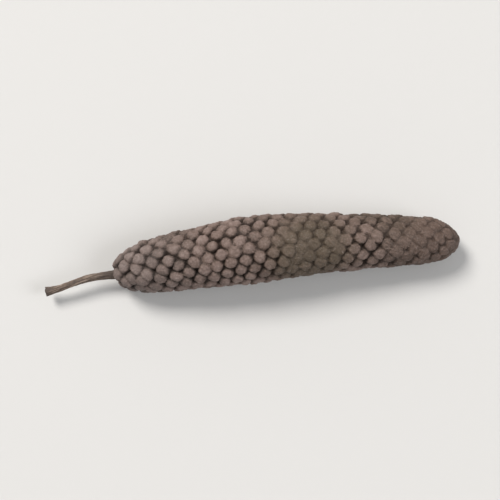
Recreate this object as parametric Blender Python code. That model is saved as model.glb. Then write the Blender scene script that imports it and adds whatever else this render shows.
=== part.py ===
# One dried long pepper: a fruit spike covered with small fused berries, and its thin stalk.
# It lies on its side. Metres, +Z up. The stalk points to -X, the tip to +X, and the spike
# bows towards +Y. The origin is under the middle of the whole, on the surface it lies on.

import math
import random

import bmesh
import bpy
import numpy as np
from mathutils import Vector
from mathutils.geometry import delaunay_2d_cdt

MM = 0.001

# The spike's outline
SPIKE_LENGTH = 36.6 * MM
WIDEST_R = 3.60 * MM
BASE_R = 2.20 * MM  # where the rounding of the base begins
TIP_R = 2.3 * MM  # where the rounding of the tip begins
WIDEST_AT = 0.42  # shares of the length, from the base
BASE_ROUNDING = 0.085
TIP_ROUNDING = 0.085
TAPER = 1.3  # 1 narrows evenly to the tip, and more keeps it full for longer
BOW = 1.0 * MM  # sideways rise of the axis over its chord
UNEVEN = 0.03  # slow swells and hollows of the dried fruit, as a share of the radius
SWELLS = ((2, 7, 0), (1, -11, 1), (0, 17, 0))  # times round, radians along, start
SLICES = 4000  # for measuring the skin
AXIS_STEP = 0.001  # share of the length over which the axis gives its direction

# The underside, which is pressed flat but stands on three points, so that it can't rock
PRESSED = 0.22 * MM
FEET = ((0.10, -1), (0.43, 1), (0.88, -1))  # share of the length, and side
FEET_OUT = 1.4 * MM  # sideways from the axis
FEET_PROUD = 0.06 * MM

# The berries
BERRY_PITCH = 1.36 * MM
BERRY_HEIGHT = 0.30 * MM
HEIGHT_SPREAD = 0.22  # berries differ by this share of their height
STRAY = 0.09 * MM  # how far a berry may sit off its place on the spiral
TURN = math.radians(99.83)  # from one berry to the next, which sets rows of 7, 11 and 18
SHOULDER = 0.60  # the ring round a berry's top, as a share of its outline
SHOULDER_HEIGHT = 0.78  # that ring's share of the berry's height
FURROW_ANGLE = math.radians(35)  # a sharper bend than this shows as an edge
FADE_FROM = 0.88  # the berries flatten from here to the tip
FADE_TO_HEIGHT = 0.55
SEED = 11

# The stalk
STALK_R = 0.38 * MM
STALK_FOOT_R = 0.52 * MM  # in the spike
STALK_END_R = 0.52 * MM  # at the thickened, broken end
FOOT_SHARE = 0.30  # shares of the reach over which it narrows from the foot
END_SHARE = 0.25  # and thickens to the end
STALK_REACH = 7.4 * MM  # past the spike's base
STALK_SWING = 1.05 * MM  # sideways, away from the bow
LATE_SWING = 1.4  # 1 spreads the swing evenly, and more leaves it to the far end
STALK_DROOP = 0.5 * MM
STALK_POINTS = 20

# The hole it sits in, and the cells that close the two ends of the spike
SEAT_DEPTH = 1.5 * MM
GAP = 0.25 * MM
SEAT_SIDES = 16
SEAT_RIM_R = STALK_FOOT_R + 2 * GAP  # where the berries begin
LAST_R = BERRY_PITCH / 4  # places the cell at the tip's point
END_POINTS = 12  # stand for the cell at each end when the berries are joined up
EVEN_FURROWS = 0.7  # 1 puts each furrow midway between two berries
SAME_PLACE = 1e-7  # two points closer than this, unrolled, are one

SPIKE_COLOUR = (0.135, 0.100, 0.085, 1)
SPIKE_ROUGHNESS = 0.75
STALK_COLOUR = (0.150, 0.115, 0.100, 1)
STALK_ROUGHNESS = 0.7


def clear_scene():
    for obj in list(bpy.data.objects):
        bpy.data.objects.remove(obj, do_unlink=True)


def collection(name):
    made = bpy.data.collections.new(name)
    bpy.context.scene.collection.children.link(made)
    return made


def material(name, colour, roughness):
    made = bpy.data.materials.new(name)
    made.use_nodes = True
    shader = made.node_tree.nodes["Principled BSDF"]
    shader.inputs["Base Color"].default_value = colour
    shader.inputs["Roughness"].default_value = roughness
    shader.inputs["Metallic"].default_value = 0
    return made


def side_r(t):
    """The radius over the berries, with neither end rounded yet."""
    base_side = WIDEST_R - (WIDEST_R - BASE_R) * np.clip(1 - t / WIDEST_AT, 0, 1) ** 2
    past = np.clip((t - WIDEST_AT) / (1 - WIDEST_AT), 0, 1)
    return base_side - (WIDEST_R - TIP_R) * past**TAPER


def skin_r(t):
    """The radius in the furrows between the berries, closed at both ends."""
    base_end = np.clip(1 - t / BASE_ROUNDING, 0, 1)
    tip_end = np.clip(1 - (1 - t) / TIP_ROUNDING, 0, 1)
    rounding = np.sqrt(1 - base_end**2) * np.sqrt(1 - tip_end**2)
    return (side_r(t) - BERRY_HEIGHT) * rounding


def axis_point(t):
    x = t * (SPIKE_LENGTH - BERRY_HEIGHT * FADE_TO_HEIGHT)
    return Vector((x, 4 * BOW * t * (1 - t), side_r(t) - PRESSED))


def axis_frame(t):
    """The axis point with the directions sideways and up from it."""
    forward = (axis_point(t + AXIS_STEP) - axis_point(t - AXIS_STEP)).normalized()
    side = Vector((0, 0, 1)).cross(forward).normalized()
    return axis_point(t), side, forward.cross(side)


def swell(t, angle):
    waves = (math.sin(around * angle + along * t + start) for around, along, start in SWELLS)
    return 1 + UNEVEN * sum(waves) / len(SWELLS)


def skin_point(t, angle):
    centre, side, up = axis_frame(t)
    radius = float(skin_r(t)) * swell(t, angle)
    return centre + radius * (side * math.cos(angle) + up * math.sin(angle))


class Unrolled:
    """The skin laid out flat without changing small shapes: angle across, way along."""

    def __init__(self):
        even = np.linspace(0, 1, SLICES + 1)[1:-1]
        self.t = (1 - np.cos(np.pi * even)) / 2
        self.r = skin_r(self.t)
        run = np.hypot(np.diff(self.t) * SPIKE_LENGTH, np.diff(self.r))
        mean_r = (self.r[1:] + self.r[:-1]) / 2
        self.area = np.concatenate([[0], np.cumsum(2 * np.pi * mean_r * run)])
        self.way = np.concatenate([[0], np.cumsum(run / mean_r)])

    def t_at_way(self, way):
        return float(np.interp(way, self.way, self.t))

    def way_at_area(self, area):
        return float(np.interp(area, self.area, self.way))

    def way_at_radius(self, radius, from_tip):
        wide = np.flatnonzero(self.r > radius)
        return float(self.way[wide[-1] if from_tip else wide[0]])


def berry_places(flat):
    """(angle, way, height) of each berry, at even shares of the area along one spiral."""
    seat_area = math.pi * SEAT_RIM_R**2
    berry_area = BERRY_PITCH**2 * math.sqrt(3) / 2
    covered = flat.area[-1] - seat_area - berry_area
    count = round(covered / berry_area)
    draw = random.Random(SEED)
    places = []
    for i in range(count):
        way = flat.way_at_area(seat_area + (i + 0.5) * covered / count)
        t = flat.t_at_way(way)
        stray = STRAY / float(skin_r(t))
        angle = i * TURN + draw.uniform(-stray, stray)
        fade = 1 - (1 - FADE_TO_HEIGHT) * max(0, (t - FADE_FROM) / (1 - FADE_FROM))
        way += draw.uniform(-stray, stray)
        spread = 1 + draw.uniform(-HEIGHT_SPREAD, HEIGHT_SPREAD)
        places.append((angle % math.tau, way, BERRY_HEIGHT * fade * spread))
    return places


def middle_of(a, b, c):
    """A point between the triangle's centroid and the point equally far from its corners."""
    ab, ac = b - a, c - a
    across = Vector(
        (
            ac.y * ab.length_squared - ab.y * ac.length_squared,
            ab.x * ac.length_squared - ac.x * ab.length_squared,
        )
    )
    return ((a + b + c) / 3).lerp(a + across / (2 * ab.cross(ac)), EVEN_FURROWS)


def cells(places, flat):
    """Junctions as {three names: (angle, way)}, and the ring of junctions round each name.

    A name is a berry's number, or seat or last for the cells that close the two ends.
    """
    seat_way = flat.way_at_radius(SEAT_RIM_R**2 / (SEAT_RIM_R + BERRY_PITCH / 2), False)
    ends = [("seat", seat_way), ("last", flat.way_at_radius(LAST_R, True))]
    around = [math.tau * k / END_POINTS for k in range(END_POINTS)]
    points = [(angle, way, number) for number, (angle, way, _) in enumerate(places)]
    points += [(angle, way, name) for name, way in ends for angle in around]
    laps = [Vector((a + lap * math.tau, w)) for lap in (0, -1, 1) for a, w, _ in points]
    names = [name for _, _, name in points] * 3
    _, _, triangles, source, _, _ = delaunay_2d_cdt(laps, [], [], 0, SAME_PLACE)
    junctions, rings = {}, {}
    for triangle in triangles:
        corners = [source[v][0] for v in triangle]
        key = frozenset(names[c] for c in corners)
        if len(key) < 3:
            continue
        middle = middle_of(*(laps[c] for c in corners))
        at_home = 0 <= middle.x < math.tau
        if at_home:
            junctions[key] = middle
        for c in corners:
            ring = rings.setdefault(names[c], {})
            if names[c] in ("seat", "last"):
                if at_home:
                    ring[key] = middle.x
            elif c < len(points):
                out = middle - laps[c]
                ring[key] = math.atan2(out.y, out.x)
    return junctions, rings


def raise_berry(bm, cell, height):
    """Lifts one cell of the skin into a low dome with a ring and a top."""
    bmesh.ops.inset_individual(bm, faces=[cell], thickness=0, depth=0)
    centre = cell.calc_center_median()
    lift = cell.normal * height * SHOULDER_HEIGHT
    for vert in cell.verts:
        vert.co = centre.lerp(vert.co, SHOULDER) + lift
    bmesh.ops.poke(bm, faces=[cell], offset=height * (1 - SHOULDER_HEIGHT))


def press_flat(bm):
    low = [vert for vert in bm.verts if vert.co.z < 0]
    feet = []
    for t, side in FEET:
        spot = axis_point(t).xy + Vector((0, side * FEET_OUT))
        feet.append(min(low, key=lambda vert: (vert.co.xy - spot).length))
    for vert in bm.verts:
        vert.co.z = max(vert.co.z, FEET_PROUD)
    for vert in feet:
        vert.co.z = 0


def spike_mesh():
    flat = Unrolled()
    places = berry_places(flat)
    heights = {number: height for number, (_, _, height) in enumerate(places)}
    heights["last"] = BERRY_HEIGHT * FADE_TO_HEIGHT
    junctions, rings = cells(places, flat)
    bm = bmesh.new()
    corner = {
        key: bm.verts.new(skin_point(flat.t_at_way(place.y), place.x))
        for key, place in junctions.items()
    }
    faces = {}
    for name, ring in rings.items():
        around = sorted(ring, key=ring.get)
        faces[name] = bm.faces.new([corner[key] for key in around])
    bmesh.ops.recalc_face_normals(bm, faces=bm.faces)
    for name, height in heights.items():
        raise_berry(bm, faces[name], height)
    press_flat(bm)
    mesh = bpy.data.meshes.new("fruit_spike")
    bm.to_mesh(mesh)
    bm.free()
    mesh.shade_smooth()
    mesh.set_sharp_from_angle(angle=FURROW_ANGLE)
    return mesh


def seat_cutter():
    """The hole for the stalk, level along X at the base."""
    bpy.ops.mesh.primitive_cylinder_add(
        vertices=SEAT_SIDES,
        radius=STALK_FOOT_R + GAP,
        depth=2 * (SEAT_DEPTH + GAP),
        location=axis_point(0.0),
        rotation=(0, math.pi / 2, 0),
    )
    cutter = bpy.context.object
    cutter.name = "seat_cutter"
    cutter.hide_render = True
    cutter.display_type = "WIRE"
    return cutter


def fruit_spike(cutter):
    spike = bpy.data.objects.new("fruit_spike", spike_mesh())
    cut = spike.modifiers.new("stalk seat", "BOOLEAN")
    cut.operation = "DIFFERENCE"
    cut.object = cutter
    spike.data.materials.append(material("dry_berries", SPIKE_COLOUR, SPIKE_ROUGHNESS))
    return spike


def stalk():
    """A tube from inside its seat outwards, swinging sideways to its thick broken end."""
    seat = axis_point(0.0)
    curve = bpy.data.curves.new("stalk", "CURVE")
    curve.dimensions = "3D"
    curve.bevel_depth = 1
    curve.bevel_resolution = 3
    curve.use_fill_caps = True
    spline = curve.splines.new("POLY")
    spline.points.add(STALK_POINTS - 1)
    for k, point in enumerate(spline.points):
        x = SEAT_DEPTH - (STALK_REACH + SEAT_DEPTH) * k / (STALK_POINTS - 1)
        out = max(0, -x / STALK_REACH)
        late = out**LATE_SWING
        swing = STALK_SWING * late**2 * (3 - 2 * late)
        point.co = (x, seat.y - swing, seat.z - STALK_DROOP * out**2, 1)
        foot = max(0, 1 - out / FOOT_SHARE) ** 2 * (STALK_FOOT_R - STALK_R)
        end = max(0, 1 - (1 - out) / END_SHARE) ** 2 * (STALK_END_R - STALK_R)
        point.radius = STALK_R + foot + end
    curve.materials.append(material("dry_stalk", STALK_COLOUR, STALK_ROUGHNESS))
    return bpy.data.objects.new("stalk", curve)


def centre_on_origin(pieces, cutter):
    """Hangs everything on an empty that puts the box's middle over the origin."""
    middle = bpy.data.objects.new("middle", None)
    bpy.context.scene.collection.objects.link(middle)
    bpy.context.view_layer.update()
    graph = bpy.context.evaluated_depsgraph_get()
    corners = [Vector(c) for o in pieces for c in o.evaluated_get(graph).bound_box]
    for axis in (0, 1):
        spread = [corner[axis] for corner in corners]
        middle.location[axis] = -(min(spread) + max(spread)) / 2
    for piece in (*pieces, cutter):
        piece.parent = middle


def main():
    clear_scene()
    parts = collection("long_pepper")
    cutters = collection("cutters")
    cutter = seat_cutter()
    for home in list(cutter.users_collection):
        home.objects.unlink(cutter)
    cutters.objects.link(cutter)
    pieces = [fruit_spike(cutter), stalk()]
    for piece in pieces:
        parts.objects.link(piece)
    centre_on_origin(pieces, cutter)


main()
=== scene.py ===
import math
import random

import bpy
import numpy as np
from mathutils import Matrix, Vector


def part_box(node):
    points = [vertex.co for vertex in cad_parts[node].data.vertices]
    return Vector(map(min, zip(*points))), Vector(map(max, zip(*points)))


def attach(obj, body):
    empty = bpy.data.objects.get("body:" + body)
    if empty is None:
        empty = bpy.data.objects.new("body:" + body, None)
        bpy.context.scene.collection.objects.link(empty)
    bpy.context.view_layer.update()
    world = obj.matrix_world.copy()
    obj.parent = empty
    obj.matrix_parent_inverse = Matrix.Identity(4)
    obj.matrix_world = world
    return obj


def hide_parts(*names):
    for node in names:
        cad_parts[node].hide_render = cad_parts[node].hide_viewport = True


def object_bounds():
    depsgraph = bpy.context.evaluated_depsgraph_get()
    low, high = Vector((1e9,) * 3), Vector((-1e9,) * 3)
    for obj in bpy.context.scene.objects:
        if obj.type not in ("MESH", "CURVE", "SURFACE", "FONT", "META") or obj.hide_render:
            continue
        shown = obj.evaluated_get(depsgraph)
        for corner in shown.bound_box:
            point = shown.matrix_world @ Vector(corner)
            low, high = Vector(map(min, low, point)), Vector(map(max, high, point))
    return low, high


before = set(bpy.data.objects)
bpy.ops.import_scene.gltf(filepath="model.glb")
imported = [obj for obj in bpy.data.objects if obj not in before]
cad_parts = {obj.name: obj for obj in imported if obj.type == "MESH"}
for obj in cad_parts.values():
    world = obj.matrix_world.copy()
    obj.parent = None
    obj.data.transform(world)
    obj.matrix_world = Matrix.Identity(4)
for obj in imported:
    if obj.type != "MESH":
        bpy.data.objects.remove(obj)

mm = 0.001
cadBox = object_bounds()
scene = bpy.context.scene
samePoint = 0.001 * mm  # points of a tube that are closer than this are joined


class Wire:  # one socket of a node; an expression on it adds Math nodes
    def __init__(self, nodes, socket):
        self.nodes = nodes
        self.socket = socket

    def math(self, operation, *values):
        return self.nodes.add("ShaderNodeMath", {"operation": operation}, values)

    def __add__(self, other):
        return self.math("ADD", self, other)

    def __sub__(self, other):
        return self.math("SUBTRACT", self, other)

    def __rsub__(self, other):
        return self.math("SUBTRACT", other, self)

    def __mul__(self, other):
        return self.math("MULTIPLY", self, other)

    def __truediv__(self, other):
        return self.math("DIVIDE", self, other)

    def __pow__(self, other):
        return self.math("POWER", self, other)

    __radd__ = __add__
    __rmul__ = __mul__

    def sine(self):
        return self.math("SINE", self)

    def cosine(self):
        return self.math("COSINE", self)

    def least(self, other):
        return self.math("MINIMUM", self, other)

    def most(self, other):
        return self.math("MAXIMUM", self, other)

    def clamped(self):  # between 0 and 1
        return self.most(0.0).least(1.0)

    def within(self, low, high):  # 0 at low and 1 at high, eased at both ends
        settings = {"interpolation_type": "SMOOTHSTEP"}
        return self.nodes.add("ShaderNodeMapRange", settings, (self, low, high, 0.0, 1.0))

    def valleys(self):  # a noise folded at its middle, so that sharp lines of 0 run through it
        level = self - 0.5
        return level.math("ABSOLUTE", level) * 2


class Nodes:  # adds nodes to one tree
    def __init__(self, tree):
        self.tree = tree

    def add(self, kind, settings=None, values=(), output=0):
        node = self.tree.nodes.new(kind)
        for name, setting in (settings or {}).items():
            if name == "stops":
                self.fill(node.color_ramp, setting)
            else:
                setattr(node, name, setting)
        for key, value in values.items() if isinstance(values, dict) else enumerate(values):
            self.feed(node, key, value)
        return Wire(self, node.outputs[output])

    def fill(self, ramp, stops):
        for place, _ in stops[len(ramp.elements):]:
            ramp.elements.new(place)
        for element, (place, colour) in zip(ramp.elements, stops):
            element.position = place
            element.color = (*colour, 1)

    def feed(self, node, key, value):
        if isinstance(value, Wire):
            self.tree.links.new(value.socket, node.inputs[key])
        else:
            node.inputs[key].default_value = value

    def vector(self, operation, *values, output=0):
        return self.add("ShaderNodeVectorMath", {"operation": operation}, values, output)

    def dot(self, first, second):
        return self.vector("DOT_PRODUCT", first, second, output=1)

    def distance(self, first, second):
        return self.vector("DISTANCE", first, second, output=1)

    def scaled(self, vector, factor):
        return self.add("ShaderNodeVectorMath", {"operation": "SCALE"}, {0: vector, 3: factor})

    def blend(self, factor, first, second):  # two colours, each of them linked or given
        first, second = (c if isinstance(c, Wire) else (*c, 1) for c in (first, second))
        return self.add("ShaderNodeMix", {"data_type": "RGBA"}, {0: factor, 6: first, 7: second}, 2)

    def noise(self, place, scale, detail, roughness, seed, output=0):
        values = {"Vector": place, "Scale": scale, "Detail": detail, "Roughness": roughness}
        values["W"] = seed
        return self.add("ShaderNodeTexNoise", {"noise_dimensions": "4D"}, values, output)

    def mark(self, name, output=2):  # what the mesh has stored: 1 as a vector, 2 as a number
        return self.add("ShaderNodeAttribute", {"attribute_name": name}, output=output)


class Growth(Nodes):  # a Geometry Nodes tree with named inputs, and how a piece is grown with it
    kinds = {
        int: "NodeSocketInt",
        float: "NodeSocketFloat",
        bpy.types.Object: "NodeSocketObject",
        bpy.types.Material: "NodeSocketMaterial",
    }

    def __init__(self, name, sizes):
        super().__init__(bpy.data.node_groups.new(name, "GeometryNodeTree"))
        self.sizes = sizes
        face = self.tree.interface
        face.new_socket("Geometry", in_out="INPUT", socket_type="NodeSocketGeometry")
        for label, value in sizes.items():
            face.new_socket(label, in_out="INPUT", socket_type=self.kinds[type(value)])
        face.new_socket("Geometry", in_out="OUTPUT", socket_type="NodeSocketGeometry")
        self.entry = self.tree.nodes.new("NodeGroupInput")

    def given(self, name):
        return Wire(self, self.entry.outputs[name])

    def read(self, name, kind="FLOAT"):
        return self.add("GeometryNodeInputNamedAttribute", {"data_type": kind}, {"Name": name})

    def store(self, geometry, name, value, kind="FLOAT"):
        values = {"Geometry": geometry, "Name": name, "Value": value}
        settings = {"data_type": kind, "domain": "POINT"}
        return self.add("GeometryNodeStoreNamedAttribute", settings, values)

    def sample(self, geometry, value, index, kind):
        values = {"Geometry": geometry, "Value": value, "Index": index}
        return self.add("GeometryNodeSampleIndex", {"data_type": kind, "domain": "POINT"}, values)

    def position(self):
        return self.add("GeometryNodeInputPosition")

    def pattern(self, place, values, output=0):  # a noise that follows the tree's own seed
        scale, detail, roughness, seed = values
        return self.noise(place, scale, detail, roughness, self.given("Seed") + seed, output)

    def evenTurn(self):  # the angle of each point of a ring
        return self.add("GeometryNodeInputIndex") / self.given("Around") * math.tau

    def tube(self, turn, capped=False):  # a ring that is carried along the rail
        curve = self.add("GeometryNodeMeshToCurve", None, (self.given("Geometry"),))
        values = {"Resolution": self.given("Around")}
        ring = self.add("GeometryNodeCurvePrimitiveCircle", None, values)
        ring = self.store(ring, "turn", turn)
        values = {"Curve": curve, "Profile Curve": ring, "Fill Caps": capped}
        return self.add("GeometryNodeCurveToMesh", None, values)

    def around(self, radius):  # where a point of the tube lies, by its turn and this radius
        turn = self.read("turn")
        across = self.scaled(self.read("sideways", "FLOAT_VECTOR"), radius * turn.cosine())
        over = self.scaled(self.read("upwards", "FLOAT_VECTOR"), radius * turn.sine())
        middle = self.read("middle", "FLOAT_VECTOR")
        return self.vector("ADD", middle, self.vector("ADD", across, over))

    def moved(self, geometry, place):
        values = {"Geometry": geometry, "Position": place}
        return self.add("GeometryNodeSetPosition", None, values)

    def joined(self, geometry):
        values = {"Geometry": geometry, "Distance": samePoint}
        return self.add("GeometryNodeMergeByDistance", None, values)

    def finish(self, geometry, material):
        geometry = self.add("GeometryNodeSetShadeSmooth", None, {"Geometry": geometry})
        geometry = self.add("GeometryNodeRealizeInstances", None, {"Geometry": geometry})
        values = {"Geometry": geometry, "Material": material}
        geometry = self.add("GeometryNodeSetMaterial", None, values)
        self.feed(self.tree.nodes.new("NodeGroupOutput"), 0, geometry)

    def grow(self, name, start, passing):  # passing: what only the growth itself has to know
        piece = placed(name, start)
        modifier = piece.modifiers.new("growth", "NODES")
        modifier.node_group = self.tree
        for item in self.tree.interface.items_tree:
            if item.in_out == "INPUT" and item.name in self.sizes:
                modifier[item.identifier] = self.sizes[item.name]
        bpy.context.view_layer.update()
        graph = bpy.context.evaluated_depsgraph_get()
        grown = bpy.data.meshes.new_from_object(piece.evaluated_get(graph))
        piece.modifiers.clear()
        piece.data = grown
        bpy.data.meshes.remove(start)
        grown.name = name
        for key in passing:
            grown.attributes.remove(grown.attributes[key])
        print(name, len(grown.vertices), "vertices")
        return piece


def placed(name, data):
    thing = bpy.data.objects.new(name, data)
    scene.collection.objects.link(thing)
    return thing


def pointMesh(name, points, joined, **attributes):
    edges = [(k, k + 1) for k in range(len(points) - 1)] if joined else []
    mesh = bpy.data.meshes.new(name)
    mesh.from_pydata([tuple(p) for p in points], edges, [])
    for key, values in attributes.items():
        values = np.asarray(values)
        if values.ndim == 2:
            kind, field = "FLOAT_VECTOR", "vector"
        elif values.dtype.kind == "i":
            kind, field = "INT", "value"
        else:
            kind, field = "FLOAT", "value"
        mesh.attributes.new(key, kind, "POINT").data.foreach_set(field, values.ravel())
    return mesh


def newMaterial(name):
    material = bpy.data.materials.new(name)
    material.use_nodes = True
    return material, Nodes(material.node_tree), material.node_tree.nodes["Principled BSDF"]


def finishSkin(nodes, shader, skin, colour, roughness, height):
    nodes.feed(shader, "Base Color", colour)
    nodes.feed(shader, "Roughness", roughness)
    nodes.feed(shader, "Specular IOR Level", skin["gloss"])
    values = {"Strength": skin["bump"], "Distance": skin["bumpDepth"], "Height": height}
    nodes.feed(shader, "Normal", nodes.add("ShaderNodeBump", None, values))


# The spike's lines, as in the part's source
spike = {
    "length": 36.6 * mm,
    "widest": 3.60 * mm,
    "base": 2.20 * mm,
    "tip": 2.3 * mm,
    "widestAt": 0.42,
    "rounding": 0.085,
    "taper": 1.3,
    "bow": 1.0 * mm,
    "uneven": 0.03,
    "swells": ((2, 7, 0), (1, -11, 1), (0, 17, 0)),
    "pressed": 0.22 * mm,
    "slices": 4000,
    "step": 0.001,  # share of the length over which its direction is taken
    "rings": 420,
    "around": 228,
    "finerOnTop": 0.3,  # how far the points round each ring are drawn to the top
}
berries = {
    "pitch": 1.36 * mm,
    "height": 0.30 * mm,
    "spread": 0.22,
    "stray": 0.09 * mm,
    "turn": math.radians(99.83),
    "fadeFrom": 0.88,
    "fadeTo": 0.55,
    "seed": 11,
    "neighbours": 8,
    "shrunk": 0.16,  # further differences in height, which only the fine skin has
    "sunken": 0.10,  # this share of the berries has dried up more than the others
    "sunkenTo": 0.45,
    "chance": 0.6,  # this share of a berry's tone is chance, and the rest how plump it is
    "looseness": 0.07 * mm,  # how far the berries stand off their even places
    "loosenessSeed": 4,
}
# Where the berries are rubbed smooth: share of the length, angle round, reach, strength and how
# far the colour turns from red brown to olive
# the rubbed places are also darker, and in the middle of the spike that is partly painted shade of
# a pepper lying over it
rubbed = (
    {"along": 0.97, "angle": math.radians(90), "reach": 11.0 * mm, "strength": 0.72, "olive": 0.0},
    {"along": 0.56, "angle": math.radians(118), "reach": 5.2 * mm, "strength": 0.64, "olive": 1.0},
    {"along": 0.20, "angle": math.radians(35), "reach": 2.4 * mm, "strength": 0.35, "olive": 0.0},
    {"along": 0.75, "angle": math.radians(-20), "reach": 5.0 * mm, "strength": 0.50, "olive": 0.6},
)
# The stalk's lines, as in the part's source, and how its fine skin goes on from them
stalk = {
    "radius": 0.38 * mm,
    "foot": 0.52 * mm,
    "end": 0.52 * mm,
    "footShare": 0.30,
    "endShare": 0.25,
    "reach": 7.4 * mm,
    "swing": 1.05 * mm,
    "late": 1.4,
    "droop": 0.5 * mm,
    "depth": 1.5 * mm,
    "gap": 0.25 * mm,
    "seated": 0.6,  # share of the depth that the fine skin goes into the spike
    "rings": 230,
    "around": 96,
    "closing": 12,  # rings that close the broken end
    "closingCurve": 1.5,
    "bulge": 0.05 * mm,  # how far the broken end stands out
    "outEnd": 1.1,  # what "out" comes to in the middle of the broken end, from 1 at its rim
    "twist": 160.0,  # how much the grooves turn in a metre
    "stretch": 220.0,  # how fast the grooves change along the stalk
}

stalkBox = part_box("stalk")
shift = np.array((stalkBox[1].x - stalk["depth"], stalkBox[1].y - stalk["foot"], 0.0))


def unit(vectors):
    return vectors / np.linalg.norm(vectors, axis=-1, keepdims=True)


def crossways(forward):  # sideways and upwards of a line that runs forward
    side = unit(np.cross((0, 0, 1), forward))
    return side, np.cross(forward, side)


def sideRadius(t):
    past = np.clip((t - spike["widestAt"]) / (1 - spike["widestAt"]), 0, 1)
    before = np.clip(1 - t / spike["widestAt"], 0, 1)
    narrowed = (spike["widest"] - spike["tip"]) * past ** spike["taper"]
    return spike["widest"] - (spike["widest"] - spike["base"]) * before**2 - narrowed


def skinRadius(t):
    baseEnd = np.clip(1 - t / spike["rounding"], 0, 1)
    tipEnd = np.clip(1 - (1 - t) / spike["rounding"], 0, 1)
    return (sideRadius(t) - berries["height"]) * np.sqrt(1 - baseEnd**2) * np.sqrt(1 - tipEnd**2)


def axisPoint(t):
    x = t * (spike["length"] - berries["height"] * berries["fadeTo"])
    y = 4 * spike["bow"] * t * (1 - t)
    return np.stack((x, y, sideRadius(t) - spike["pressed"]), -1) + shift


def axisFrame(t):
    forward = unit(axisPoint(t + spike["step"]) - axisPoint(t - spike["step"]))
    side, up = crossways(forward)
    return axisPoint(t), side, up


def skinPoint(t, angle):
    centre, side, up = axisFrame(t)
    waves = [np.sin(a * angle + b * t + c) for a, b, c in spike["swells"]]
    radius = skinRadius(t) * (1 + spike["uneven"] * sum(waves) / len(waves))
    across = side * np.cos(angle)[:, None] + up * np.sin(angle)[:, None]
    return centre + radius[:, None] * across


def measuredSkin():  # the skin up to each slice: its area, its way in radii and its length
    even = np.linspace(0, 1, spike["slices"] + 1)[1:-1]
    t = (1 - np.cos(np.pi * even)) / 2
    radius = skinRadius(t)
    run = np.hypot(np.diff(t) * spike["length"], np.diff(radius))
    mean = (radius[1:] + radius[:-1]) / 2
    area = np.concatenate(([0], np.cumsum(2 * np.pi * mean * run)))
    way = np.concatenate(([0], np.cumsum(run / mean)))
    length = np.concatenate(([0], np.cumsum(run)))
    return t, area, way, length


def berryPlaces(t, area, way):  # one spiral of berries with an even share of the skin each
    rim = stalk["foot"] + 2 * stalk["gap"]
    seatArea = math.pi * rim**2
    berryArea = berries["pitch"] ** 2 * math.sqrt(3) / 2
    covered = area[-1] - seatArea - berryArea
    count = round(covered / berryArea)
    draw = random.Random(berries["seed"])
    places = []
    for k in range(count):
        here = float(np.interp(seatArea + (k + 0.5) * covered / count, area, way))
        at = float(np.interp(here, way, t))
        stray = berries["stray"] / float(skinRadius(at))
        angle = k * berries["turn"] + draw.uniform(-stray, stray)
        late = max(0, (at - berries["fadeFrom"]) / (1 - berries["fadeFrom"]))
        here += draw.uniform(-stray, stray)
        height = 1 + draw.uniform(-berries["spread"], berries["spread"])
        height *= berries["height"] * (1 - (1 - berries["fadeTo"]) * late)
        places.append((float(np.interp(here, way, t)), angle, height))
    return np.array(places)


def berrySeeds(t, area, way):  # a point for each berry, which knows its neighbours and its looks
    places = berryPlaces(t, area, way)
    points = skinPoint(places[:, 0], places[:, 1])
    ends = axisPoint(np.array((0.0, 1.0)))
    points = np.concatenate((points, ends))
    heights = np.concatenate((places[:, 2], (0.0, berries["height"] * berries["fadeTo"])))
    loose = np.random.default_rng(berries["loosenessSeed"])
    points += loose.normal(0, berries["looseness"], points.shape)
    apart = np.linalg.norm(points[:, None] - points[None], axis=-1)
    nearest = np.argsort(apart, axis=1)[:, 1 : berries["neighbours"] + 1]
    near = {f"near{k}": nearest[:, k].astype(np.int32) for k in range(berries["neighbours"])}
    draw = np.random.default_rng(berries["seed"])
    lean = draw.normal(0, 1, points.shape)
    sunken = draw.random(len(points)) < berries["sunken"]
    left = 1 - berries["shrunk"] * np.abs(draw.normal(0, 1, len(points)))
    left *= np.where(sunken, berries["sunkenTo"], 1.0)
    heights *= left
    tone = berries["chance"] * draw.random(len(points)) + (1 - berries["chance"]) * left
    mesh = pointMesh("berrySeeds", points, False, height=heights, tone=tone, lean=lean, **near)
    print(len(points), "berries placed, the two ends among them")
    return placed("berrySeeds", mesh)
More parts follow.
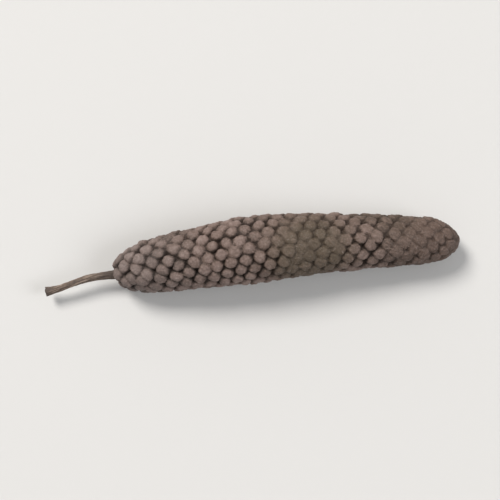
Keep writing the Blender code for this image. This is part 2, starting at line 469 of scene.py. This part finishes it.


# The spike's skin: dark in the crevices, partly painted shade, and light and dusty on the tops of
# the berries, partly painted highlight
berrySkin = {
    "shades": (
        (0.05, (0.026, 0.015, 0.010)),  # in the crevices, partly the skin's own dark and partly painted shade
        (0.38, (0.106, 0.071, 0.057)),  # on the flanks
        (0.70, (0.172, 0.120, 0.102)),  # on the shoulders
        (1.0, (0.222, 0.168, 0.147)),  # on the tops, partly painted highlight
    ),
    "warm": (0.098, 0.060, 0.044),
    "olive": (0.090, 0.065, 0.041),
    "grey": (0.140, 0.117, 0.110),
    "dust": (0.360, 0.310, 0.285),
    "warmPatches": 0.4,  # how strong each of these colours is at most
    "warmRubbed": 0.75,
    "greyBase": 0.5,
    "dusty": 0.4,
    "roughness": 0.80,
    "smootherTops": 0.16,
    "smootherRubbed": 0.1,
    "roughSpecks": 0.3,
    "gloss": 0.35,
    "bump": 0.8,
    "bumpDepth": 0.10 * mm,
    "bumps": {"grain": 0.4, "dents": 0.5, "furrow": 0.3},  # how much each counts in them
    "patterns": {  # scale, detail, roughness and seed of each noise
        "patch": (260.0, 3.0, 0.5, 0.0),
        "speck": (2600.0, 4.0, 0.65, 0.0),
        "warmth": (190.0, 2.0, 0.5, 5.0),
        "furrow": (3400.0, 2.0, 0.5, 8.0),
        "dust": (6500.0, 3.0, 0.7, 4.0),
        "grain": (7000.0, 4.0, 0.6, 0.0),
        "dents": (1900.0, 3.0, 0.55, 2.0),
    },
    "spans": {  # where each of these starts and where it is full
        "fold": (0.0, 0.25),
        "furrow": (0.0, 0.22),
        "warmth": (0.45, 0.75),
        "base": (0.02, 0.30),
        "dust": (0.54, 0.72),
    },
    "tones": {  # what makes it lighter or darker: the value that changes nothing, and the weight
        # crest lights the tops of the berries: partly painted highlight
        "crest": (0.0, 0.84),
        "tone": (0.65, 0.40),
        "patch": (0.5, 0.5),
        "speck": (0.5, 0.55),
        # fold, furrow and pit darken the folds of the skin and the pits between berries: painted
        # shade in the folds, partly painted shade in the pits
        "fold": (0.8, 0.22),
        "furrow": (0.8, 0.16),
        "pit": (0.0, -0.45),
        # worn and olive darken the rubbed places; in the middle of the spike this is partly painted
        # shade of a pepper that lies over it
        "worn": (0.0, -0.44),
        "olive": (0.0, -0.16),
    },
}


def makeBerrySkin():
    material, nodes, shader = newMaterial("dryBerrySkin")
    place = nodes.add("ShaderNodeTexCoord", output="Object")
    spans = berrySkin["spans"]
    seen = {name: nodes.noise(place, *values) for name, values in berrySkin["patterns"].items()}
    stored = ("crest", "tone", "pit", "worn", "olive", "fold")
    seen.update({name: nodes.mark(name) for name in stored})
    seen["fold"] = seen["fold"].within(*spans["fold"])
    seen["furrow"] = seen["furrow"].valleys().within(*spans["furrow"])
    crest, worn, olive = seen["crest"], seen["worn"], seen["olive"]
    tones = berrySkin["tones"].items()
    # lighter on the tops and darker in the crevices, pits and folds: partly painted highlight and
    # painted shade
    light = sum((seen[name] - middle) * weight for name, (middle, weight) in tones)
    colour = nodes.add("ShaderNodeValToRGB", {"stops": berrySkin["shades"]}, (light,))
    brown = nodes.blend(olive, berrySkin["warm"], berrySkin["olive"])
    warm = seen["warmth"].within(*spans["warmth"]) * berrySkin["warmPatches"]
    warm = warm + worn * berrySkin["warmRubbed"]
    warm = warm.most(olive * berrySkin["warmRubbed"]) * crest
    colour = nodes.blend(warm, colour, brown)
    base = 1 - nodes.mark("along").within(*spans["base"])
    colour = nodes.blend(base * crest * berrySkin["greyBase"], colour, berrySkin["grey"])
    dust = seen["dust"].within(*spans["dust"]) * crest * crest
    colour = nodes.blend(dust * berrySkin["dusty"], colour, berrySkin["dust"])
    rough = berrySkin["roughness"] - crest * berrySkin["smootherTops"]
    rough = rough - worn * berrySkin["smootherRubbed"]
    rough = rough + (seen["speck"] - 0.5) * berrySkin["roughSpecks"]
    height = sum(seen[name] * weight for name, weight in berrySkin["bumps"].items())
    finishSkin(nodes, shader, berrySkin, colour, rough, height)
    return material


# The fine relief of the spike, over the domes of the solid
relief = {
    "flank": 0.46,  # width of a berry's flank, in pitches
    "bead": 0.38,  # square of a berry's radius, in square pitches
    "steep": 0.38,  # share of the flank in a berry's form, and the rest is the round bead
    "leastPit": 0.12,
    "pitFilled": 0.5,  # how far a pit is filled in a rubbed place
    "leastFused": 0.3,
    "wornFlat": 0.8,  # how far a rubbed place comes to its even height
    "crease": 0.35,
    "foldMiddle": 0.75,
    "oliveFade": 0.7,  # how fast the olive colour fades, beside the rubbed place itself
    "floorEase": 0.05 * mm,
    "sizes": {  # inputs of the spike's tree, by the same names
        "Outline waver": 0.13 * mm,
        "Gap": 0.08 * mm,  # round a berry that has come loose
        "Deeper": 0.35,  # how much deeper the furrows are than in the solid
        "Crease depth": 0.04 * mm,
        "Pit depth": 0.28 * mm,  # where three berries meet
        "Pit width": 0.60 * mm,
        "Fused": 0.62,  # how high the furrows are between berries that have grown together
        "Worn height": 0.82,
        "Wrinkle depth": 0.075 * mm,
        "Lean": 0.12 * mm,
        "Floor": 0.01 * mm,  # no point is lower
        "Seed": 3.0,
    },
    "patterns": {  # scale, detail, roughness and seed of each noise
        "waver": (900.0, 2.0, 0.5, 0.0),
        "loose": (430.0, 2.0, 0.5, 4.0),
        "gap": (800.0, 1.0, 0.5, 9.0),
        "hollow": (560.0, 1.0, 0.5, 6.0),
        "fold": (1500.0, 3.0, 0.6, 0.0),
    },
    "spans": {  # where each of these starts and where it is full
        "worn": (0.0, 0.6),
        "olive": (0.0, 0.7),
        "loose": (0.35, 0.65),
        "gap": (0.4, 0.7),
        "hollow": (0.36, 0.6),
        "pit": (0.0, 0.8),
        "fold": (0.0, 0.28),
    },
}


def berryOutlines(tree):  # which berry each point belongs to, and how far inside it the point is
    place = tree.position()
    wander = tree.pattern(place, relief["patterns"]["waver"], output=1)
    wander = tree.vector("SUBTRACT", wander, (0.5, 0.5, 0.5))
    place = tree.vector("ADD", place, tree.scaled(wander, tree.given("Outline waver") * 2))
    values = {"Object": tree.given("Seeds")}
    points = tree.add("GeometryNodeObjectInfo", None, values, "Geometry")
    values = {"Geometry": points, "Sample Position": place}
    nearest = tree.add("GeometryNodeSampleNearest", {"domain": "POINT"}, values)

    def own(name, kind="FLOAT"):  # what the point's own berry has stored
        return tree.sample(points, tree.read(name, kind), nearest, kind)

    home = tree.sample(points, tree.position(), nearest, "FLOAT_VECTOR")
    fromHome = tree.vector("SUBTRACT", place, home)
    homeSquare = tree.dot(fromHome, fromHome)
    sides = []  # how far each side of the outline is
    for k in range(berries["neighbours"]):
        there = tree.sample(points, tree.position(), own(f"near{k}", "INT"), "FLOAT_VECTOR")
        fromThere = tree.vector("SUBTRACT", place, there)
        square = tree.dot(fromThere, fromThere)
        sides.append((square - homeSquare) / (tree.distance(home, there) * 2))
    inside, second = sides[0], sides[0] + 1.0  # the nearest side and the next one
    for side in sides[1:]:
        second = second.least(inside.most(side))
        inside = inside.least(side)
    return own, fromHome, homeSquare, inside, second


def rubbedPlaces(tree, here):  # where the berries have run together, and where they are olive
    spans = relief["spans"]
    worn, olive = 0.0, 0.0
    for spot in rubbed:
        middle = skinPoint(np.array([spot["along"]]), np.array([spot["angle"]]))[0].tolist()
        away = tree.distance(here, middle) / spot["reach"]
        patch = (1 - away).within(*spans["worn"]) * spot["strength"]
        tint = (1 - away * relief["oliveFade"]).within(*spans["olive"]) * spot["olive"]
        worn = patch.most(worn)
        olive = tint.most(olive)
    return worn, olive


def makeSpike():
    t, area, way, length = measuredSkin()
    even = np.linspace(0, length[-1], spike["rings"] - 1)
    along = np.concatenate(([0.0], np.interp(even, length, t), [1.0]))
    centre, side, up = axisFrame(along)
    rail = pointMesh(
        "spikeRail",
        centre,
        True,
        along=along,
        radius0=skinRadius(along),
        middle=centre,
        sideways=side,
        upwards=up,
    )
    seeds = berrySeeds(t, area, way)
    sizes = {
        "Around": spike["around"],
        "Finer on top": spike["finerOnTop"],
        "Seeds": seeds,
        "Skin": makeBerrySkin(),
        "Uneven": spike["uneven"],
        "Pitch": berries["pitch"],
        **relief["sizes"],
    }
    tree = Growth("spikeGrowth", sizes)
    even = tree.evenTurn()
    tube = tree.tube(even + even.cosine() * tree.given("Finer on top"))
    turn, share = tree.read("turn"), tree.read("along")
    waves = [(turn * a + share * b + c).sine() for a, b, c in spike["swells"]]
    swell = 1 + sum(waves) / len(waves) * tree.given("Uneven")
    tube = tree.joined(tree.moved(tube, tree.around(tree.read("radius0") * swell)))

    own, fromHome, homeSquare, inside, second = berryOutlines(tree)
    here, pitch, deeper = tree.position(), tree.given("Pitch"), tree.given("Deeper")
    worn, olive = rubbedPlaces(tree, here)
    patterns, spans = relief["patterns"], relief["spans"]

    def eased(name):
        return tree.pattern(here, patterns[name]).within(*spans[name])

    loose = eased("loose") * (1 - worn)  # where the berries have come apart
    rise = inside - eased("gap") * loose * tree.given("Gap")
    rise = (rise / (pitch * relief["flank"])).clamped()
    back = 1 - rise
    flank = (1 - back * back) ** 0.5
    bead = 1 - (homeSquare / (pitch * pitch * relief["bead"])).clamped()
    corner = 1 - ((inside + second) / tree.given("Pit width")).clamped()
    hollow = relief["leastPit"] + eased("hollow") * (1 - relief["leastPit"])
    pit = corner.within(*spans["pit"]) * hollow * (1 - worn * relief["pitFilled"])
    fused = relief["leastFused"] + (1 - loose) * (1 - relief["leastFused"])
    fused = fused * (1 - pit) * tree.given("Fused")
    dome = fused + (1 - fused) * (flank * relief["steep"] + bead * (1 - relief["steep"]))
    dome = dome + worn * (tree.given("Worn height") - dome) * (1 - pit) * relief["wornFlat"]
    tilt = tree.dot(own("lean", "FLOAT_VECTOR"), fromHome) / pitch
    crease = (relief["crease"] - rise).within(0.0, relief["crease"]) * loose
    fold = tree.pattern(here, patterns["fold"]).valleys()  # as in shrunken skin
    wrinkle = fold.within(*spans["fold"]) - relief["foldMiddle"]
    lift = own("height") * (dome * (1 + deeper) - deeper)
    lift = lift + tilt * dome * tree.given("Lean") * (1 - worn)
    lift = lift - crease * tree.given("Crease depth") - pit * tree.given("Pit depth")
    lift = lift + wrinkle * tree.given("Wrinkle depth")
    tube = tree.store(tube, "lift", lift)
    tube = tree.store(tube, "crest", dome)
    tube = tree.store(tube, "pit", pit)
    tube = tree.store(tube, "tone", own("tone"))
    tube = tree.store(tube, "worn", worn)
    tube = tree.store(tube, "olive", olive)
    tube = tree.store(tube, "fold", fold)
    offset = tree.scaled(tree.add("GeometryNodeInputNormal"), tree.read("lift"))
    tube = tree.add("GeometryNodeSetPosition", None, {"Geometry": tube, "Offset": offset})
    parts = tree.add("ShaderNodeSeparateXYZ", None, (tree.position(),))
    x, y, z = (Wire(tree, socket) for socket in parts.socket.node.outputs)
    z = z.math("SMOOTH_MAX", z, tree.given("Floor"), relief["floorEase"])
    tube = tree.moved(tube, tree.add("ShaderNodeCombineXYZ", None, (x, y, z)))
    tree.finish(tube, tree.given("Skin"))
    passing = ("radius0", "middle", "sideways", "upwards", "turn", "lift")
    piece = tree.grow("berriedSpike", rail, passing)
    bpy.data.objects.remove(seeds)
    return piece


# The stalk's skin: dark in its grooves, which is painted shade, dark at the spike, partly painted
# shade there, and dark towards the broken end
stalkSkin = {
    "shades": (
        (0.15, (0.045, 0.032, 0.026)),  # in the grooves, painted shade
        (0.50, (0.150, 0.108, 0.083)),
        (0.85, (0.285, 0.226, 0.182)),  # on the ridges
    ),
    "end": (0.050, 0.036, 0.030),
    # ridge lightens the ridges against the grooves: painted shade in the grooves
    "ridge": 0.45,  # how much each of these lightens it
    "streak": 0.5,
    "speck": 0.5,
    "brokenSpeck": 0.9,
    "brokenDark": 0.1,
    "darkEnd": 0.75,
    "darkEndBroken": 0.7,
    # darkFoot darkens the stalk at the spike, partly painted shade where it meets the spike
    "darkFoot": 0.70,
    "roughness": 0.72,
    "roughStreaks": 0.3,
    "streakBump": 0.7,
    "speckBump": 0.3,
    "gloss": 0.35,
    "bump": 0.5,
    "bumpDepth": 0.06 * mm,
    "patterns": {  # scale, detail, roughness and seed of each noise
        "streak": (5.0, 4.0, 0.65, 0.0),
        "speck": (3500.0, 3.0, 0.6, 0.0),
    },
    "spans": {  # how far out each of these starts and is full
        "foot": (0.0, 0.45),
        "darkEnd": (0.84, 1.0),
        "broken": (1.0, 1.05),
    },
}


def makeStalkSkin():
    material, nodes, shader = newMaterial("dryStalkSkin")
    place = nodes.add("ShaderNodeTexCoord", output="Object")
    spans = stalkSkin["spans"]
    grain = nodes.mark("grain", 1)
    ridge, out = nodes.mark("ridge"), nodes.mark("out")
    streak = nodes.noise(grain, *stalkSkin["patterns"]["streak"])
    speck = nodes.noise(place, *stalkSkin["patterns"]["speck"])
    # the grooves darker than the ridges: painted shade
    light = ridge * stalkSkin["ridge"] + streak * stalkSkin["streak"]
    light = light + (speck - 0.5) * stalkSkin["speck"]
    broken = out.within(*spans["broken"])
    torn = speck * stalkSkin["brokenSpeck"] - stalkSkin["brokenDark"]
    light = light + broken * (torn - light)
    colour = nodes.add("ShaderNodeValToRGB", {"stops": stalkSkin["shades"]}, (light,))
    dark = out.within(*spans["darkEnd"]) * (1 - broken * stalkSkin["darkEndBroken"])
    dark = dark * stalkSkin["darkEnd"]
    # darker at the spike: partly painted shade
    dark = dark + (1 - out.within(*spans["foot"])) * stalkSkin["darkFoot"]
    colour = nodes.blend(dark, colour, stalkSkin["end"])
    rough = stalkSkin["roughness"] + (streak - 0.5) * stalkSkin["roughStreaks"]
    height = streak * stalkSkin["streakBump"] + speck * stalkSkin["speckBump"]
    finishSkin(nodes, shader, stalkSkin, colour, rough, height)
    return material


def stalkLine():  # the middle of each ring, its radius and how far out it is
    x = np.linspace(stalk["depth"] * stalk["seated"], -stalk["reach"], stalk["rings"])
    out = np.clip(-x / stalk["reach"], 0, 1)
    late = out ** stalk["late"]
    seat = axisPoint(np.array(0.0)) - shift
    y = seat[1] - stalk["swing"] * late**2 * (3 - 2 * late)
    z = seat[2] - stalk["droop"] * out**2
    foot = np.clip(1 - out / stalk["footShare"], 0, 1) ** 2
    end = np.clip(1 - (1 - out) / stalk["endShare"], 0, 1) ** 2
    radius = stalk["radius"] + foot * (stalk["foot"] - stalk["radius"])
    radius += end * (stalk["end"] - stalk["radius"])
    centre = np.stack((x, y, z), -1) + shift
    closed = np.linspace(0, 1, stalk["closing"] + 1)[1:]
    push = unit(centre[-1] - centre[-2]) * stalk["bulge"]
    centre = np.concatenate((centre, centre[-1] + push * closed[:, None]))
    radius = np.concatenate((radius, radius[-1] * (1 - closed ** stalk["closingCurve"])))
    out = np.concatenate((out, np.linspace(1.0, stalk["outEnd"], stalk["closing"] + 1)[1:]))
    return centre, radius, out


# The fine relief of the stalk: grooves along it, lumps and torn fibres at the broken end
grooves = {
    "width": 0.4,
    "middle": 0.7,  # the height of a ridge that changes nothing
    "tornMiddle": 0.75,
    "torn": (0.96, 1.01),  # how far out the torn fibres start and are full
    "sizes": {  # inputs of the stalk's tree, by the same names
        "Groove depth": 0.11 * mm,
        "Lump depth": 0.10 * mm,
        "Torn depth": 0.35 * mm,
        "Seed": 7.0,
    },
    "patterns": {  # scale, detail, roughness and seed of each noise
        "groove": (1.5, 3.0, 0.55, 0.0),
        "lump": (0.7, 2.0, 0.5, 1.0),
        "fibre": (3200.0, 2.0, 0.6, 2.0),
    },
}


def makeStalk():
    centre, radius, out = stalkLine()
    forward = unit(np.gradient(centre, axis=0))
    side, up = crossways(forward)
    steps = np.linalg.norm(np.diff(centre, axis=0), axis=-1)
    rail = pointMesh(
        "stalkRail",
        centre,
        True,
        out=out,
        length=np.concatenate(([0], np.cumsum(steps))),
        radius0=radius,
        middle=centre,
        sideways=side,
        upwards=up,
        forwards=forward,
    )
    sizes = {"Around": stalk["around"], "Skin": makeStalkSkin(), **grooves["sizes"]}
    patterns = grooves["patterns"]
    tree = Growth("stalkGrowth", sizes)
    tube = tree.tube(tree.evenTurn(), capped=True)
    turn, length, out = tree.read("turn"), tree.read("length"), tree.read("out")
    twisted = turn + length * stalk["twist"]
    values = (twisted.cosine(), twisted.sine(), length * stalk["stretch"])
    grain = tree.add("ShaderNodeCombineXYZ", None, values)
    ridge = tree.pattern(grain, patterns["groove"]).valleys().within(0.0, grooves["width"])
    lump = tree.pattern(grain, patterns["lump"]) - 0.5
    share = (ridge - grooves["middle"]) * tree.given("Groove depth")
    share = share + lump * 2 * tree.given("Lump depth")
    share = share * (1 - out.within(1.0, stalk["outEnd"]))
    radius = tree.read("radius0")
    place = tree.around(radius + share * radius / stalk["radius"])
    fibre = tree.pattern(place, patterns["fibre"]) - grooves["tornMiddle"]
    torn = fibre * out.within(*grooves["torn"]) * tree.given("Torn depth")
    place = tree.vector("ADD", place, tree.scaled(tree.read("forwards", "FLOAT_VECTOR"), torn))
    tube = tree.store(tube, "ridge", ridge)
    tube = tree.store(tube, "grain", grain, "FLOAT_VECTOR")
    tree.finish(tree.joined(tree.moved(tube, place)), tree.given("Skin"))
    passing = ("radius0", "middle", "sideways", "upwards", "forwards", "turn", "length")
    return tree.grow("wrinkledStalk", rail, passing)


floorSheet = {
    "flat": 0.5,
    "bend": 0.4,
    "steps": 12,
    "around": 96,
    "colour": (0.51, 0.50, 0.487),
    "roughness": 0.85,
}


def makeFloor():  # a flat sheet that curves up at its rim, so that no edge shows behind the piece
    profile = [(floorSheet["flat"], 0.0)]
    for k in range(1, floorSheet["steps"] + 1):
        lean = math.pi / 2 * k / floorSheet["steps"]
        out = floorSheet["flat"] + floorSheet["bend"] * math.sin(lean)
        profile.append((out, floorSheet["bend"] * (1 - math.cos(lean))))
    count = floorSheet["around"]
    turns = [math.tau * k / count for k in range(count)]
    points = [(out * math.cos(a), out * math.sin(a), up) for out, up in profile for a in turns]
    faces = [tuple(range(count))]
    for ring in range(len(profile) - 1):
        for k in range(count):
            a, b = ring * count + k, ring * count + (k + 1) % count
            faces.append((a, b, b + count, a + count)[::-1])
    mesh = bpy.data.meshes.new("paleFloor")
    mesh.from_pydata(points, [], faces)
    mesh.shade_smooth()
    material, nodes, shader = newMaterial("palePaper")
    nodes.feed(shader, "Base Color", (*floorSheet["colour"], 1))
    nodes.feed(shader, "Roughness", floorSheet["roughness"])
    mesh.materials.append(material)
    floor = placed("paleFloor", mesh)
    print("floor laid")


# Soft studio light: a wide key from the upper left, a fill from the right and the room
lights = {
    "key": {"at": (-0.48, 0.60, 0.90), "size": 0.48, "power": 16.2, "colour": (1.0, 0.98, 0.95)},
    "fill": {"at": (0.78, -0.30, 0.66), "size": 0.66, "power": 6.4, "colour": (0.95, 0.97, 1.0)},
}
room = {"colour": (0.96, 0.98, 1.0), "strength": 0.41}


def makeLights():
    for name, light in lights.items():
        data = bpy.data.lights.new(name, "AREA")
        data.shape = "DISK"
        data.size = light["size"]
        data.energy = light["power"]
        data.color = light["colour"]
        lamp = placed(name, data)
        lamp.location = light["at"]
        lamp.rotation_euler = (-Vector(light["at"])).to_track_quat("-Z", "Y").to_euler()
    world = bpy.data.worlds.new("room")
    world.use_nodes = True
    sky = world.node_tree.nodes["Background"]
    sky.inputs["Color"].default_value = (*room["colour"], 1)
    sky.inputs["Strength"].default_value = room["strength"]
    scene.world = world


# The photograph looks almost straight down, with the tip a little higher than the stalk
view = {"azimuth": -5.6, "elevation": 82.0, "lens": 85.0, "distance": 0.123, "clip": (0.001, 10)}


def makeCamera():
    azimuth, elevation = math.radians(view["azimuth"]), math.radians(view["elevation"])
    level = math.cos(elevation)
    back = Vector((math.sin(azimuth) * level, -math.cos(azimuth) * level, math.sin(elevation)))
    low, high = cadBox
    data = bpy.data.cameras.new("camera")
    data.lens = view["lens"]
    data.clip_start, data.clip_end = view["clip"]
    camera = placed("camera", data)
    camera.location = (low + high) / 2 + back * view["distance"]
    camera.rotation_euler = (-back).to_track_quat("-Z", "Y").to_euler()
    scene.camera = camera


scene.view_settings.view_transform = "Standard"
berriedSpike = makeSpike()
wrinkledStalk = makeStalk()
makeFloor()
makeLights()
makeCamera()
print("camera and light set")

for piece, node, finish in (
    (berriedSpike, "fruit_spike", "dry_berries"),
    (wrinkledStalk, "stalk", "dry_stalk"),
):
    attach(piece, "root")
    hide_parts(node)
